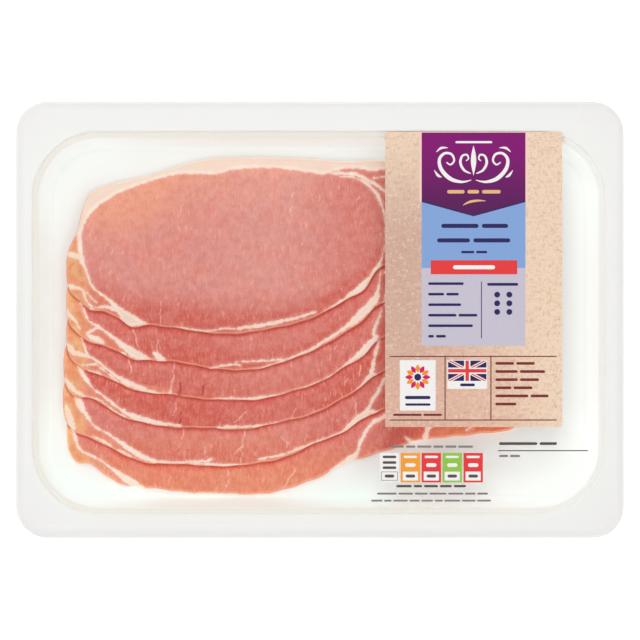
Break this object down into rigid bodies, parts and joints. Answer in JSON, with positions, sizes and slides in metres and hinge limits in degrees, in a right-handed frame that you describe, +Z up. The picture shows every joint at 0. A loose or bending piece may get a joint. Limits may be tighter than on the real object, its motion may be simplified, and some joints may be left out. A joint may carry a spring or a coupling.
{
  "type": "bacon pack",
  "caption": "Sealed pack of back bacon: shallow plastic tray, clear film lid welded to its flange, printed label, and a fan of overlapping rashers inside.",
  "frame": {"origin": "under the middle of the pack's outline, on the surface that the tray's flat floor rests on", "axes": "+X along the pack towards the label's side, +Y across it towards the rashers' fat edges, +Z up out of the film"},
  "size_m": [0.26, 0.1866, 0.0176],
  "materials": {
    "tray_plastic": "milky white formed plastic, satin",
    "lid_film": "thin clear plastic film, glossy",
    "label_paper": "speckled brown kraft paper with printed fields of colour",
    "bacon": null
  },
  "bodies": {
    "root": {"tray": "tray_plastic", "film": "lid_film", "label": "label_paper", "rasher_1": "bacon", "rasher_2": "bacon", "rasher_3": "bacon", "rasher_4": "bacon", "rasher_5": "bacon", "rasher_6": "bacon"}
  },
  "joints": []
}
